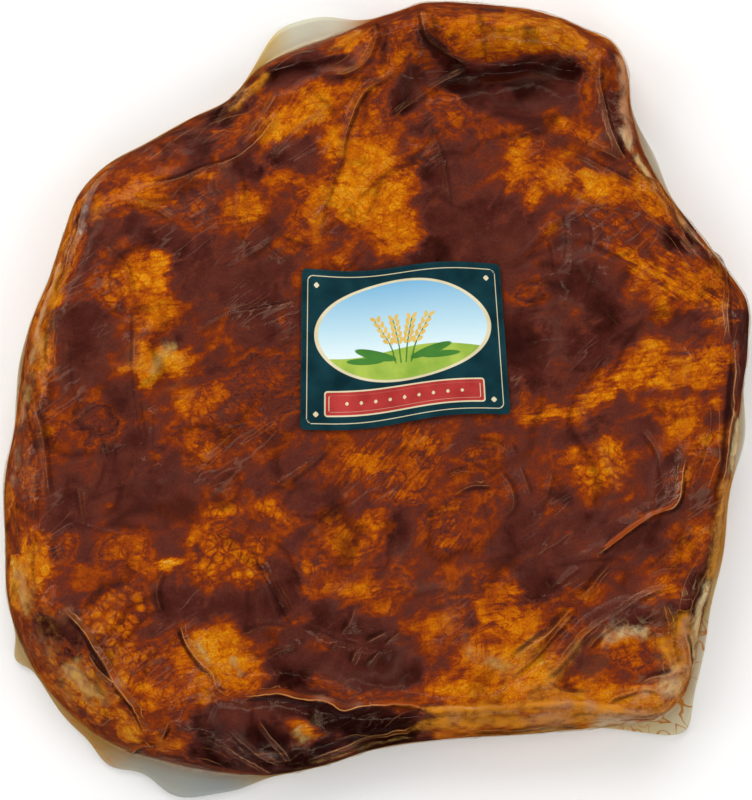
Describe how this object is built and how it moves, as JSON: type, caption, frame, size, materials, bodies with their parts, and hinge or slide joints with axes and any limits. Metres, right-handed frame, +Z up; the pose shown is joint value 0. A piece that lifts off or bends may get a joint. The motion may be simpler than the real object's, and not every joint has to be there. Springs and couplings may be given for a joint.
{
  "type": "boiled bacon",
  "caption": "Slab of paprika-coated boiled bacon in a clear vacuum bag with a printed label, lying flat",
  "frame": {"origin": "middle of the pack's footprint box, on the surface it lies on", "axes": "+Z up out of the labelled side, +Y towards the label's top edge, +X to the label's right"},
  "size_m": [0.3047, 0.3249, 0.0444],
  "materials": {
    "meat": "moist paprika coat with orange fat",
    "film": "clear, glossy, wrinkled",
    "label": "satin printed sticker"
  },
  "bodies": {
    "root": {"sealed_bag": "meat", "label": "label"}
  },
  "joints": []
}
